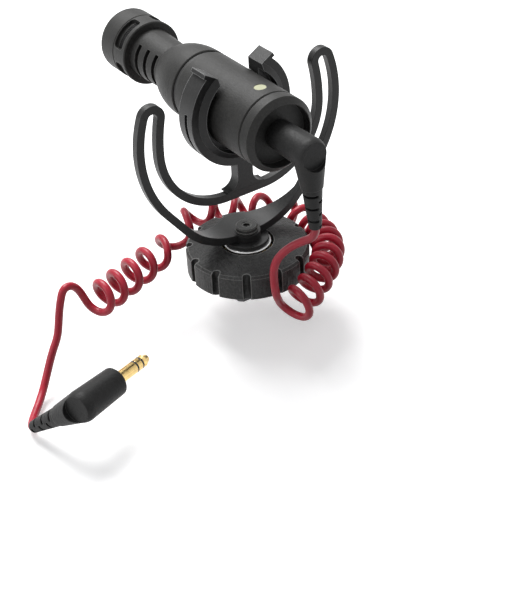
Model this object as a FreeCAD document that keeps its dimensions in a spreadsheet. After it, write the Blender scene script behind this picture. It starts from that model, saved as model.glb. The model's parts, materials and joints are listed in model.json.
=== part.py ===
import FreeCAD, Part
import math
import os
import Sketcher

# On-camera microphone in a lyre suspension on a shoe foot, with its curly output cord.
# Millimetres. +Y runs to the front of the microphone, +X to its right and +Z up.
# The origin is the middle of the shoe foot's underside, on the axis of the thumbwheel.

os.makedirs("parts", exist_ok=True)
doc = FreeCAD.newDocument("Microphone")
sheet = doc.addObject("Spreadsheet::Sheet", "Sizes")

# Driving dimensions
SIZES = {
    # Shoe foot and stud
    "foot_width": 18.6,
    "foot_length": 18.0,
    "foot_thickness": 2.0,
    "foot_corner": 1.2,
    "rail_gap": 1.7,
    "stud_radius": 5.9,
    "stud_proud": 0.3,
    "stud_flange_width": 1.0,
    "stud_flange_thickness": 0.8,
    "stud_flange_chamfer": 0.25,
    "tripod_bore_radius": 4.0,
    "tripod_bore_depth": 9.0,
    "stud_floor": 0.55,
    "running_clearance": 0.08,
    # Thumbwheel and clamp washer
    "wheel_radius": 18.0,
    "wheel_height": 8.4,
    "wheel_chamfer": 0.7,
    "wheel_crown_rise": 0.8,
    "wheel_crown_width": 1.3,
    "wheel_well_gap": 0.8,
    "wheel_well_depth": 2.2,
    "wheel_skirt_width": 4.8,
    "wheel_foot_inset": 1.4,
    "wheel_foot_rise": 1.0,
    "notch_width": 2.2,
    "notch_depth": 2.0,
    "notch_count": 12,
    "wheel_phase": -5.5,
    "insert_wall": 1.22,
    "insert_flange_width": 1.2,
    "insert_flange_thickness": 0.8,
    "washer_well_gap": 0.7,
    "washer_thickness": 1.0,
    "washer_proud": 0.3,
    "washer_gap": 0.05,
    # Lyre suspension
    "lyre_boss_radius": 6.3,
    "lyre_boss_height": 1.25,
    "lyre_depth": 2.2,
    "arm_thickness": 2.3,
    "outer_arm_reach": 31.9,
    "outer_arm_rise": 34.25,
    "outer_shoulder_radius": 32.5,
    "outer_leg_angle": 36.9,
    "saddle_fillet_radius": 22.0,
    "saddle_share": 0.1,
    "saddle_tongue_angle": 26.7,
    "saddle_tongue": 9.6,
    "saddle_tongue_radius": 5.0,
    "arm_closing": 0.6,
    "arm_drop": 0.8,
    "inner_corner_radius": 20.0,
    "inner_shoulder_radius": 46.4,
    "hairpin_radius": 2.6,
    "screw_boss_rim": 0.7,
    "seat_washer_radius": 3.3,
    "seat_washer_thickness": 0.4,
    "screw_radius": 1.5,
    "screw_head_inset": 0.1,
    "screw_head_height": 1.3,
    "screw_ring_radius": 1.6,
    "screw_ring_depth": 0.2,
    "screw_socket_radius": 1.25,
    "screw_socket_depth": 0.8,
    # Cradle clip
    "mic_rise": 5.0,
    "clip_rear": 1.1,
    "clip_front": 5.2,
    "clip_recess_width": 1.5,
    "clip_cone_width": 1.8,
    "clip_rib_height": 2.25,
    "clip_lip_proud": 1.2,
    "clip_step": 1.7,
    "clip_groove_start": 1.1,
    "clip_groove_width": 1.3,
    "clip_groove_depth": 1.45,
    "clip_groove_angle": 200,
    "clip_mouth": 6.95,
    "clip_fit": 0.06,
    "tip_rise": 1.0,
    "tip_reach": 3.75,
    "tip_climb": 2.2,
    "tip_lean": 0.6,
    "tip_drop": 1.04,
    "post_half_width": 2.55,
    "post_depth": 3.4,
    "post_foot_round": 3.7,
    "post_foot_lip": 0.3,
    # Microphone tube
    "tube_radius": 10.5,
    "tube_wall": 1.2,
    "tube_rear": -14.75,
    "tube_front": 16.4,
    "edge_chamfer": 0.3,
    "joint_ring_depth": 0.5,
    "joint_ring_width": 1.3,
    "collar_length": 2.8,
    "collar_taper_length": 11.8,
    "neck_radius": 7.5,
    "neck_taper": 0.5,
    "neck_wall": 1.6,
    "neck_length": 13.7,
    "neck_spigot": 1.0,
    "collar_spigot": 4.0,
    "neck_slot_width": 1.6,
    "neck_slot_gap": 1.6,
    "neck_slot_pitch": 4.35,
    "neck_slot_count": 3,
    "neck_slot_angle": 92.0,
    # Head
    "head_step": 2.1,
    "head_wall": 1.0,
    "head_ring_length": 8.2,
    "head_round": 1.6,
    "head_spigot": 1.6,
    "head_fit": 0.04,
    "head_slot_gap": 0.5,
    "head_slot_width": 4.3,
    "head_slot_angle": 63.0,
    "head_slot_count": 4,
    "head_slot_turn": 41.0,
    "head_slot_round": 1.2,
    "mesh_thickness": 0.35,
    "mesh_recess": 0.9,
    "mesh_lip": 0.9,
    "sleeve_gap": 0.1,
    "sleeve_thickness": 0.3,
    "foam_thickness": 2.0,
    "capsule_length": 4.6,
    "capsule_rim": 0.5,
    "carrier_wall": 1.7,
    "carrier_floor": 0.8,
    "carrier_lip": 1.0,
    "gasket_thickness": 0.6,
    "gasket_lap": 1.0,
    "neck_screen_lap": 1.0,
    "capsule_pin_radius": 0.35,
    "capsule_pin_offset": 1.4,
    "capsule_pin_gap": 0.38,
    # Rear end and jack
    "rear_cap_gap": 0.25,
    "rear_cap_length": 4.8,
    "rear_cap_chamfer": 1.5,
    "rear_land": 0.2,
    "rear_recess": 2.6,
    "rear_floor_thickness": 1.4,
    "rear_cap_spigot": 3.0,
    "pin_fit": 0.07,
    "jack_bush_wall": 1.18,
    "jack_board_gap": 0.7,
    "jack_end_gap": 1.25,
    "jack_end_wall": 1.2,
    "jack_nut_width": 1.1,
    "jack_nut_thickness": 1.2,
    "spring_width": 1.6,
    "spring_thickness": 0.3,
    "spring_length": 3.2,
    "spring_gap": 0.6,
    "dot_radius": 1.65,
    "dot_inset": 4.45,
    "dot_thickness": 0.6,
    "dot_sink": 0.12,
    # Circuit board
    "board_thickness": 1.2,
    "board_end_gap": 0.4,
    "board_edge_gap": 0.43,
    "capacitor_radius": 2.0,
    "capacitor_height": 5.0,
    "capacitor_margin": 0.6,
    "capacitor_gap": 1.0,
    "transistor_width": 3.0,
    "transistor_height": 1.2,
    "transistor_margin": 1.0,
    # Angle plugs
    "plug_gap": 0.35,
    "plug_tilt": -4.0,
    "plug_nose_radius": 4.1,
    "plug_nose_chamfer": 0.6,
    "plug_knuckle_radius": 4.45,
    "plug_disc_radius": 3.75,
    "plug_disc_place": 2.4,
    "plug_leg_place": 13.5,
    "plug_leg_end_radius": 3.05,
    "plug_leg_length": 10.0,
    "relief_length": 12.7,
    "relief_root_step": 0.25,
    "relief_tip_wall": 0.6,
    "relief_core_wall": 0.2,
    "relief_slot_height": 0.8,
    "relief_slot_pitch": 2.0,
    "relief_slot_count": 6,
    "relief_slot_first": 1.5,
    "far_plug_x": -56.6,
    "far_plug_y": -20.3,
    "far_plug_z": 2.9,
    "pin_radius": 1.75,
    "pin_sleeve_length": 7.3,
    "pin_ring_length": 1.6,
    "pin_insulator_length": 0.6,
    "pin_neck_radius": 1.15,
    "pin_tip_length": 3.4,
    # Curly cord
    "cord_diameter": 2.3,
    "curl_radius": 3.7,
    "loose_curl_radius": 3.3,
    "overrun": 1.0,
}

row = 0
for name, value in SIZES.items():
    row += 1
    sheet.set(f"A{row}", name)
    sheet.set(f"B{row}", str(value))
    sheet.setAlias(f"B{row}", name)
doc.recompute()


class Size:
    """A length or angle that carries its value and the sheet expression it comes from."""

    def __init__(self, value, text):
        self.value = float(value)
        self.text = text

    def __add__(self, other):
        other = as_size(other)
        return Size(self.value + other.value, f"({self.text} + {other.text})")

    def __sub__(self, other):
        other = as_size(other)
        return Size(self.value - other.value, f"({self.text} - {other.text})")

    def __mul__(self, factor):
        factor = as_size(factor)
        return Size(self.value * factor.value, f"({self.text} * {factor.text})")

    def __truediv__(self, factor):
        factor = as_size(factor)
        return Size(self.value / factor.value, f"({self.text} / {factor.text})")

    def root(self):
        return Size(math.sqrt(self.value), f"sqrt({self.text})")

    def __neg__(self):
        return Size(-self.value, f"(-1 * {self.text})")


def as_size(value):
    return value if isinstance(value, Size) else Size(value, str(value))


class Sheet:
    """Gives each named size of the sheet as an attribute."""

    def __getattr__(self, name):
        return Size(sheet.get(name), f"Sizes.{name}")


s = Sheet()
nodes = []


def bind(item, path, size):
    """Sets one property from a size and keeps its expression."""
    item.setExpression(path, as_size(size).text)


def place(item, x=0, y=0, z=0):
    for axis, size in (("x", x), ("y", y), ("z", z)):
        if isinstance(size, Size):
            bind(item, f".Placement.Base.{axis}", size)


def turn(item, axis, angle):
    item.Placement = FreeCAD.Placement(item.Placement.Base, FreeCAD.Rotation(axis, angle.value))
    bind(item, ".Placement.Rotation.Angle", angle)


def new_body(name):
    body = doc.addObject("PartDesign::Body", name)
    body.Label = name
    nodes.append(body)
    return body


def new_sketch(body, role, offset=None):
    """A sketch on one of the body's own planes, moved along that plane's normal by offset."""
    sketch = body.newObject("Sketcher::SketchObject", "Outline")
    plane = [item for item in body.Origin.OriginFeatures if item.Role == role][0]
    sketch.AttachmentSupport = [(plane, "")]
    sketch.MapMode = "FlatFace"
    if offset is not None:
        bind(sketch, ".AttachmentOffset.Base.z", offset)
    return sketch


def tangent_arc(start, end, before):
    """The arc from start to end that leaves start along the vector before."""
    chord = end - start
    side = FreeCAD.Vector(-before.y, before.x, 0)
    side.normalize()
    reach = chord.dot(chord) / (2 * chord.dot(side))
    centre = start + side * reach
    first = math.atan2(start.y - centre.y, start.x - centre.x)
    last = math.atan2(end.y - centre.y, end.x - centre.x)
    circle = Part.Circle(centre, FreeCAD.Vector(0, 0, 1), abs(reach))
    if reach > 0:
        return Part.ArcOfCircle(circle, first, last), 1, 2
    return Part.ArcOfCircle(circle, last, first), 2, 1


def outline(sketch, points):
    """Closed outline through points of (x, y) sizes; a third item "arc" leads there on an arc tangent to the side before."""
    where = [FreeCAD.Vector(as_size(p[0]).value, as_size(p[1]).value, 0) for p in points]
    ends = []
    heading = FreeCAD.Vector(1, 0, 0)
    for k, start in enumerate(where):
        end = where[(k + 1) % len(where)]
        if len(points[(k + 1) % len(where)]) > 2:
            shape, first, last = tangent_arc(start, end, heading)
            ends.append((sketch.addGeometry(shape, False), first, last, True))
        else:
            ends.append((sketch.addGeometry(Part.LineSegment(start, end), False), 1, 2, False))
        heading = end - start
    for k, (item, first, last, curved) in enumerate(ends):
        following = ends[(k + 1) % len(ends)]
        kind = "Tangent" if following[3] else "Coincident"
        sketch.addConstraint(Sketcher.Constraint(kind, item, last, following[0], following[1]))
    for (item, first, last, curved), point in zip(ends, points):
        for kind, size in (("DistanceX", point[0]), ("DistanceY", point[1])):
            size = as_size(size)
            index = sketch.addConstraint(Sketcher.Constraint(kind, item, first, size.value))
            sketch.setExpression(f"Constraints[{index}]", size.text)


def revolve(body, role, points, kind="Revolution", axis="H_Axis", angle=None, offset=None):
    """Turns an outline about the sketch's own axis: H_Axis is along the microphone, V_Axis upright."""
    sketch = new_sketch(body, role)
    if offset is not None:
        bind(sketch, ".AttachmentOffset.Base.x", offset)
    outline(sketch, points)
    feature = body.newObject(f"PartDesign::{kind}", kind)
    feature.Profile = sketch
    feature.ReferenceAxis = (sketch, [axis])
    if angle is None:
        feature.Angle = 360
    else:
        bind(feature, "Angle", angle)
        feature.Midplane = True
    sketch.Visibility = False
    return feature


def extrude(body, role, draw, length, kind="Pad", offset=None, reverse=False, middle=False):
    """Pads or pockets what draw(sketch) makes."""
    sketch = new_sketch(body, role, offset)
    draw(sketch)
    feature = body.newObject(f"PartDesign::{kind}", kind)
    feature.Profile = sketch
    bind(feature, "Length", length)
    feature.Reversed = reverse
    feature.Midplane = middle
    sketch.Visibility = False
    return feature


def polygon(points):
    return lambda sketch: outline(sketch, points)


def circle(x, y, radius):
    """Draws a circle of named centre and radius."""
    def draw(sketch):
        x_size, y_size, r_size = as_size(x), as_size(y), as_size(radius)
        centre = FreeCAD.Vector(x_size.value, y_size.value, 0)
        item = sketch.addGeometry(Part.Circle(centre, FreeCAD.Vector(0, 0, 1), r_size.value), False)
        for constraint, size in (
            (Sketcher.Constraint("DistanceX", item, 3, x_size.value), x_size),
            (Sketcher.Constraint("DistanceY", item, 3, y_size.value), y_size),
            (Sketcher.Constraint("Radius", item, r_size.value), r_size),
        ):
            index = sketch.addConstraint(constraint)
            sketch.setExpression(f"Constraints[{index}]", size.text)
    return draw


def rectangle(x0, x1, y0, y1):
    return polygon([(x0, y0), (x1, y0), (x1, y1), (x0, y1)])


def along_mic(name, points):
    """A piece turned about the microphone's axis, from points of (station, radius)."""
    body = new_body(name)
    revolve(body, "YZ_Plane", points)
    place(body, z=mic_height)
    return body


def about_stud(name, points):
    """A piece turned about the stud's axis, from points of (radius, height)."""
    body = new_body(name)
    revolve(body, "XZ_Plane", points, axis="V_Axis")
    return body


# Shoe foot: the flat plate that slides under a camera's shoe rails
foot_half_width = s.foot_width / 2
foot_half_length = s.foot_length / 2
foot_cut_x = foot_half_width - s.foot_corner
foot_cut_y = foot_half_length - s.foot_corner
foot = new_body("shoe_foot")
foot_outline = [
    (foot_half_width, -foot_cut_y),
    (foot_half_width, foot_cut_y),
    (foot_cut_x, foot_half_length),
    (-foot_cut_x, foot_half_length),
    (-foot_half_width, foot_cut_y),
    (-foot_half_width, -foot_cut_y),
    (-foot_cut_x, -foot_half_length),
    (foot_cut_x, -foot_half_length),
]
extrude(foot, "XY_Plane", polygon(foot_outline), s.foot_thickness)
extrude(foot, "XY_Plane", circle(0, 0, s.stud_radius), s.foot_thickness * 2, "Pocket", middle=True)

# Heights and radii that the foot, the stud, the wheel and the lyre share
washer_bottom = s.foot_thickness + s.rail_gap
washer_top = washer_bottom + s.washer_thickness
washer_bore = s.stud_radius + s.running_clearance
wheel_bottom = washer_bottom + s.washer_proud
wheel_rim = wheel_bottom + s.wheel_height
wheel_crown = wheel_rim + s.wheel_crown_rise
wheel_ceiling = washer_top + s.washer_gap
wheel_well_radius = s.wheel_radius - s.wheel_skirt_width
washer_radius = wheel_well_radius - s.washer_well_gap
stud_top = wheel_crown + s.stud_proud
saddle_bottom = stud_top + s.lyre_boss_height
saddle_top = saddle_bottom + s.arm_thickness
outer_arm_height = saddle_top + s.outer_arm_rise
inner_arm_height = outer_arm_height - s.arm_drop
mic_height = inner_arm_height + s.mic_rise

# Threaded stud with its bright flange, bored from below for a tripod screw
stud_flange_radius = s.stud_radius + s.stud_flange_width
stud_flange_bottom = stud_top - s.stud_flange_thickness
screw_tip = s.tripod_bore_depth + s.stud_floor
about_stud("mounting_stud", [
    (s.tripod_bore_radius, 0),
    (s.stud_radius, 0),
    (s.stud_radius, stud_flange_bottom),
    (stud_flange_radius, stud_flange_bottom),
    (stud_flange_radius, stud_top - s.stud_flange_chamfer),
    (stud_flange_radius - s.stud_flange_chamfer, stud_top),
    (s.screw_radius, stud_top),
    (s.screw_radius, screw_tip),
    (0, screw_tip),
    (0, s.tripod_bore_depth),
    (s.tripod_bore_radius, s.tripod_bore_depth),
])

# Clamp washer: keyed to the stud, rises and falls with the wheel
about_stud("clamp_washer", [
    (washer_bore, washer_bottom),
    (washer_radius, washer_bottom),
    (washer_radius, washer_top),
    (washer_bore, washer_top),
])

# Thumbwheel: crowned top, notched rim, recess below for the washer, well round the stud's flange
stud_well_radius = stud_flange_radius + s.wheel_well_gap
wheel_well_floor = wheel_crown - s.wheel_well_depth
insert_radius = washer_bore + s.insert_wall
insert_flange_radius = insert_radius + s.insert_flange_width
insert_step = wheel_ceiling + s.insert_flange_thickness
wheel = new_body("thumbwheel")
revolve(wheel, "XZ_Plane", [
    (wheel_well_radius, wheel_bottom),
    (s.wheel_radius - s.wheel_foot_inset, wheel_bottom),
    (s.wheel_radius, wheel_bottom + s.wheel_foot_rise),
    (s.wheel_radius, wheel_rim - s.wheel_chamfer),
    (s.wheel_radius - s.wheel_chamfer, wheel_rim),
    (stud_well_radius + s.wheel_crown_width, wheel_crown),
    (stud_well_radius, wheel_crown),
    (stud_well_radius, wheel_well_floor),
    (insert_radius, wheel_well_floor),
    (insert_radius, insert_step),
    (insert_flange_radius, insert_step),
    (insert_flange_radius, wheel_ceiling),
    (wheel_well_radius, wheel_ceiling),
], axis="V_Axis")
notch_middle = s.wheel_radius - s.notch_depth + s.notch_width / 2
notch_reach = s.wheel_radius + s.overrun


def notch(sketch):
    """A slot open to the rim, with a round inner end."""
    half = s.notch_width / 2
    outline(sketch, [
        (notch_middle, half),
        (notch_reach, half),
        (notch_reach, -half),
        (notch_middle, -half),
    ])


def notch_end(sketch):
    circle(notch_middle, 0, s.notch_width / 2)(sketch)


def pattern_about(body, feature, axis_role, count):
    pattern = body.newObject("PartDesign::PolarPattern", "Pattern")
    pattern.Originals = [feature]
    axis = [item for item in body.Origin.OriginFeatures if item.Role == axis_role][0]
    pattern.Axis = (axis, [""])
    pattern.Angle = 360
    bind(pattern, "Occurrences", count)
    body.Tip = pattern
    return pattern


notch_cut_length = (wheel_crown + s.overrun) * 2
pattern_about(wheel, extrude(wheel, "XY_Plane", notch, notch_cut_length, "Pocket", middle=True), "Z_Axis", s.notch_count)
pattern_about(wheel, extrude(wheel, "XY_Plane", notch_end, notch_cut_length, "Pocket", middle=True), "Z_Axis", s.notch_count)
turn(wheel, FreeCAD.Vector(0, 0, 1), s.wheel_phase)

# Brass insert that carries the wheel's thread
about_stud("wheel_insert", [
    (washer_bore, wheel_ceiling),
    (insert_flange_radius, wheel_ceiling),
    (insert_flange_radius, insert_step),
    (insert_radius, insert_step),
    (insert_radius, wheel_well_floor),
    (washer_bore, wheel_well_floor),
])

# Spacer between the stud's flange and the lyre
about_stud("lyre_spacer", [
    (s.screw_radius, stud_top),
    (s.lyre_boss_radius, stud_top),
    (s.lyre_boss_radius, saddle_bottom),
    (s.screw_radius, saddle_bottom),
])

# Lyre: two nested arms joined by hairpins, worked out once as arcs about shared centres
Y_AXIS = FreeCAD.Vector(0, 1, 0)


def lyre_plan():
    """Centres, radii and tangent points of the left half of the lyre's centre line, in X and Z."""
    plan = {}
    flat = saddle_bottom.value + s.arm_thickness.value / 2
    lean = math.radians(180 + s.outer_leg_angle.value)
    leg_centre = (0, outer_arm_height.value)
    reach = s.outer_arm_reach.value
    leg_top = (reach * math.cos(lean), leg_centre[1] + reach * math.sin(lean))
    fall = (-math.sin(lean), math.cos(lean))
    leg_run = (flat - leg_top[1]) / fall[1]
    corner = (leg_top[0] + leg_run * fall[0], flat)
    half_turn = math.atan2(-fall[1], fall[0]) / 2
    bend_room = abs(corner[0]) - s.screw_radius.value
    fillet = min(s.saddle_fillet_radius.value, bend_room / math.tan(half_turn))
    trim = fillet * math.tan(half_turn)
    share = s.saddle_share.value
    plan["flat"] = flat
    plan["lean"] = lean
    plan["fall"] = fall
    plan["leg_centre"] = leg_centre
    plan["leg_top"] = leg_top
    plan["leg_foot"] = (corner[0] - trim * fall[0], corner[1] - trim * fall[1])
    plan["fillet"] = fillet
    plan["fillet_centre"] = (corner[0] + trim, flat + fillet)
    plan["joint"] = tuple(
        foot + share * (top - foot) for foot, top in zip(plan["leg_foot"], leg_top)
    )
    shoulder = s.outer_shoulder_radius.value
    plan["shoulder_centre"] = (shoulder - reach, outer_arm_height.value)
    inner = reach - s.hairpin_radius.value * 2 - s.arm_closing.value
    plan["corner_centre"] = (s.inner_corner_radius.value - inner, inner_arm_height.value)
    inner_shoulder = s.inner_shoulder_radius.value
    plan["inner_centre"] = (inner_shoulder - inner, inner_arm_height.value)
    first = shoulder - s.hairpin_radius.value
    second = inner_shoulder + s.hairpin_radius.value
    gap_x = plan["inner_centre"][0] - plan["shoulder_centre"][0]
    gap_z = plan["inner_centre"][1] - plan["shoulder_centre"][1]
    gap = math.hypot(gap_x, gap_z)
    along = (first * first - second * second + gap * gap) / (2 * gap)
    across = math.sqrt(first * first - along * along)
    ex, ez = gap_x / gap, gap_z / gap
    plan["hairpin_centre"] = (
        plan["shoulder_centre"][0] + along * ex - across * ez,
        plan["shoulder_centre"][1] + along * ez + across * ex,
    )
    return plan


LYRE = lyre_plan()


def at(point, y):
    return FreeCAD.Vector(point[0], y, point[1])


def round_edge(centre, radius, first, last, y):
    """The arc about centre from angle first to angle last, in the XZ plane at station y."""
    points = []
    for angle in (first, (first + last) / 2, last):
        points.append(at((centre[0] + radius * math.cos(angle), centre[1] + radius * math.sin(angle)), y))
    return Part.Arc(*points).toShape()


def bearing(centre, point):
    return math.atan2(point[1] - centre[1], point[0] - centre[0]) % (2 * math.pi)


def arm_side(offset, y):
    """One edge line of the left arm, offset outwards: the outer arm's edges, then the inner arm's."""
    plan = LYRE
    normal = (plan["fall"][1], -plan["fall"][0])
    start = (plan["joint"][0] + offset * normal[0], plan["joint"][1] + offset * normal[1])
    reach = s.outer_arm_reach.value + offset
    leg_top = (reach * math.cos(plan["lean"]), plan["leg_centre"][1] + reach * math.sin(plan["lean"]))
    hairpin = plan["hairpin_centre"]
    to_outer = bearing(plan["shoulder_centre"], hairpin)
    to_inner = bearing(plan["inner_centre"], hairpin)
    outer = [Part.LineSegment(at(start, y), at(leg_top, y)).toShape()]
    outer.append(round_edge(plan["leg_centre"], reach, plan["lean"], math.pi, y))
    outer.append(round_edge(plan["shoulder_centre"], s.outer_shoulder_radius.value + offset, math.pi, to_outer, y))
    inner = [round_edge(hairpin, s.hairpin_radius.value + offset, to_outer, to_inner - math.pi, y)]
    inner.append(round_edge(plan["inner_centre"], s.inner_shoulder_radius.value - offset, to_inner, math.pi, y))
    corner = s.inner_corner_radius.value - offset
    inner.append(round_edge(plan["corner_centre"], corner, math.pi, math.pi * 3 / 2, y))
    foot = (plan["corner_centre"][0], plan["corner_centre"][1] - corner)
    inner.append(Part.LineSegment(at(foot, y), at((0, foot[1]), y)).toShape())
    return outer, inner


def scripted(name, shape):
    """A sub-part whose shape no sketch fits; its sizes come from the sheet."""
    item = doc.addObject("Part::Feature", name)
    item.Label = name
    item.Shape = shape
    item.Placement = FreeCAD.Placement()
    nodes.append(item)
    return item


def ends_of(edges):
    first, last = edges[0], edges[-1]
    return first.Vertexes[0].Point, last.Vertexes[-1].Point


def strip(outside, inside, width):
    """The plate between two edge lines, closed at both ends and given its width."""
    outer_start, outer_end = ends_of(outside)
    inner_start, inner_end = ends_of(inside)
    closing = [
        Part.LineSegment(outer_start, inner_start).toShape(),
        Part.LineSegment(outer_end, inner_end).toShape(),
    ]
    wire = Part.Wire(Part.__sortEdges__(outside + inside + closing))
    return Part.Face(wire).extrude(Y_AXIS * width)


def mirrored(shape):
    return shape.mirror(FreeCAD.Vector(0, 0, 0), FreeCAD.Vector(1, 0, 0))


half_arm = s.arm_thickness.value / 2
arm_rear = -s.lyre_depth.value / 2
outer_outside, inner_outside = arm_side(half_arm, arm_rear)
outer_inside, inner_inside = arm_side(-half_arm, arm_rear)
left_arm = strip(outer_outside, outer_inside, s.lyre_depth.value)
inner_half = strip(inner_outside, inner_inside, s.lyre_depth.value)
scripted("lyre_arm_left", left_arm)
scripted("lyre_arm_right", mirrored(left_arm))
scripted("lyre_inner_arm", inner_half.fuse(mirrored(inner_half)).removeSplitter().Solids[0])

# Saddle: the lyre's wide root, a band that follows the arms' feet, with a tongue to the front
saddle_rear = -s.lyre_depth / 2


def saddle_band():
    """The saddle's section: the arms' legs, the two fillets and the flat, offset both ways."""
    plan = LYRE
    y = saddle_rear.value
    half = s.arm_thickness.value / 2
    radius = plan["fillet"]
    normal = (plan["fall"][1], -plan["fall"][0])
    turn_end = math.pi * 3 / 2
    turn_start = math.atan2(normal[1], normal[0]) % (2 * math.pi)
    sides = []
    for offset in (half, -half):
        start = (plan["joint"][0] + offset * normal[0], plan["joint"][1] + offset * normal[1])
        foot = (plan["leg_foot"][0] + offset * normal[0], plan["leg_foot"][1] + offset * normal[1])
        middle = (0, plan["flat"] - offset)
        edges = [Part.LineSegment(at(start, y), at(foot, y)).toShape()]
        edges.append(round_edge(plan["fillet_centre"], radius + offset, turn_start, turn_end, y))
        edges.append(Part.LineSegment(at((plan["fillet_centre"][0], middle[1]), y), at(middle, y)).toShape())
        sides.append(edges)
    left = strip(sides[0], sides[1], s.lyre_depth.value + s.saddle_tongue.value)
    return left.fuse(mirrored(left))


def saddle_plan():
    """The saddle's outline from above: level with the arms behind, a rounded tongue in front."""
    reach = -LYRE["joint"][0] + s.overrun.value
    rear = saddle_rear.value
    front = s.lyre_depth.value / 2
    apex = s.saddle_tongue.value
    radius = s.saddle_tongue_radius.value
    rise = math.radians(s.saddle_tongue_angle.value)
    lean = math.pi / 2 - rise
    centre = (0, apex - radius)
    touch = (radius * math.cos(lean), centre[1] + radius * math.sin(lean))
    shoulder_x = touch[0] + (touch[1] - front) / math.tan(rise)
    points = [(-reach, rear), (reach, rear), (reach, front), (shoulder_x, front), touch]
    right = [FreeCAD.Vector(x, y, 0) for x, y in points]
    left = [FreeCAD.Vector(-x, y, 0) for x, y in points[:1:-1]]
    edges = [Part.LineSegment(a, b).toShape() for a, b in zip(right, right[1:])]
    crest = FreeCAD.Vector(0, apex, 0)
    edges.append(Part.Arc(right[-1], crest, left[0]).toShape())
    edges += [Part.LineSegment(a, b).toShape() for a, b in zip(left, left[1:])]
    edges.append(Part.LineSegment(left[-1], right[0]).toShape())
    top = LYRE["joint"][1] + s.arm_thickness.value
    return Part.Face(Part.Wire(edges)).extrude(FreeCAD.Vector(0, 0, top))


def saddle():
    shape = saddle_band().common(saddle_plan())
    up = FreeCAD.Vector(0, 0, 1)
    boss_radius = s.seat_washer_radius.value + s.screw_boss_rim.value
    boss = Part.makeCylinder(boss_radius, s.arm_thickness.value, up * saddle_bottom.value, up)
    seat = Part.makeCylinder(boss_radius, outer_arm_height.value, up * saddle_top.value, up)
    hole = Part.makeCylinder(s.screw_radius.value, saddle_top.value, FreeCAD.Vector(0, 0, 0), up)
    return shape.fuse(boss).cut(seat).cut(hole).removeSplitter()


scripted("lyre_saddle", saddle().Solids[0])

# Seat washer and pan-head screw with a six-lobed socket that hold the lyre to the stud
screw_under = saddle_top + s.seat_washer_thickness
screw_top = screw_under + s.screw_head_height
screw_head_radius = s.seat_washer_radius - s.screw_head_inset
about_stud("seat_washer", [
    (s.screw_radius, saddle_top),
    (s.seat_washer_radius, saddle_top),
    (s.seat_washer_radius, screw_under),
    (s.screw_radius, screw_under),
])
screw = new_body("lyre_screw")
revolve(screw, "XZ_Plane", [
    (0, screw_tip),
    (s.screw_radius, screw_tip),
    (s.screw_radius, screw_under),
    (screw_head_radius, screw_under),
    (screw_head_radius, screw_top - s.edge_chamfer),
    (screw_head_radius - s.edge_chamfer, screw_top),
    (s.screw_ring_radius, screw_top),
    (s.screw_ring_radius - s.screw_ring_depth, screw_top - s.screw_ring_depth),
    (0, screw_top - s.screw_ring_depth),
], axis="V_Axis")
STAR_SHARE = 0.72


def star(sketch):
    """A six-lobed socket, drawn as a twelve-sided star."""
    points = []
    for k in range(12):
        reach = s.screw_socket_radius * (1 if k % 2 == 0 else STAR_SHARE)
        angle = math.radians(30 * k)
        points.append((reach * round(math.cos(angle), 6), reach * round(math.sin(angle), 6)))
    outline(sketch, points)


extrude(screw, "XY_Plane", star, s.screw_socket_depth + s.overrun, "Pocket",
        offset=screw_top - s.screw_ring_depth + s.overrun)

# Cradle clip: a C-shaped ring open at the top, with flared tips and the post it stands on
clip = new_body("cradle_clip")
clip_bore = s.tube_radius + s.clip_fit
clip_recess_radius = s.tube_radius + s.clip_recess_width
clip_cone_radius = clip_recess_radius + s.clip_cone_width
clip_radius = clip_cone_radius + s.clip_rib_height
clip_step_end = s.clip_step - s.clip_rear
clip_lip = -s.clip_rear - s.clip_lip_proud
revolve(clip, "YZ_Plane", [
    (-s.clip_rear, clip_cone_radius),
    (-s.clip_rear, clip_radius),
    (s.clip_front, clip_radius),
    (s.clip_front, clip_bore),
    (clip_step_end, clip_bore),
    (clip_step_end, clip_recess_radius),
    (clip_lip, clip_recess_radius),
])
tip_height = s.tube_radius + s.tip_rise
mouth_top = clip_radius + s.overrun
mouth_reach = s.clip_mouth + s.tip_reach * (mouth_top - tip_height) / s.tip_climb
mouth_cut = polygon([
    (-s.clip_mouth, 0),
    (s.clip_mouth, 0),
    (s.clip_mouth, tip_height),
    (mouth_reach, mouth_top),
    (-mouth_reach, mouth_top),
    (-s.clip_mouth, tip_height),
])
clip_length = s.clip_front + s.clip_rear + s.clip_lip_proud + s.overrun
extrude(clip, "XZ_Plane", mouth_cut, clip_length * 2, "Pocket", middle=True)
tip_end = s.clip_mouth + s.tip_reach
for side in (1, -1):
    tip = [
        (s.clip_mouth * side, tip_height),
        (tip_end * side, tip_height + s.tip_climb),
        ((tip_end + s.tip_lean) * side, tip_height + s.tip_climb - s.tip_drop),
        ((s.clip_mouth + s.tip_lean) * side, tip_height - s.tip_drop),
    ]
    extrude(clip, "XZ_Plane", polygon(tip), s.clip_front + s.clip_rear, offset=s.clip_rear, reverse=True)
groove_end = s.clip_groove_start + s.clip_groove_width
groove = revolve(clip, "YZ_Plane", [
    (s.clip_groove_start, s.clip_groove_depth - clip_radius),
    (groove_end, s.clip_groove_depth - clip_radius),
    (groove_end, -clip_radius - s.overrun),
    (s.clip_groove_start, -clip_radius - s.overrun),
], "Groove", angle=s.clip_groove_angle)

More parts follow.
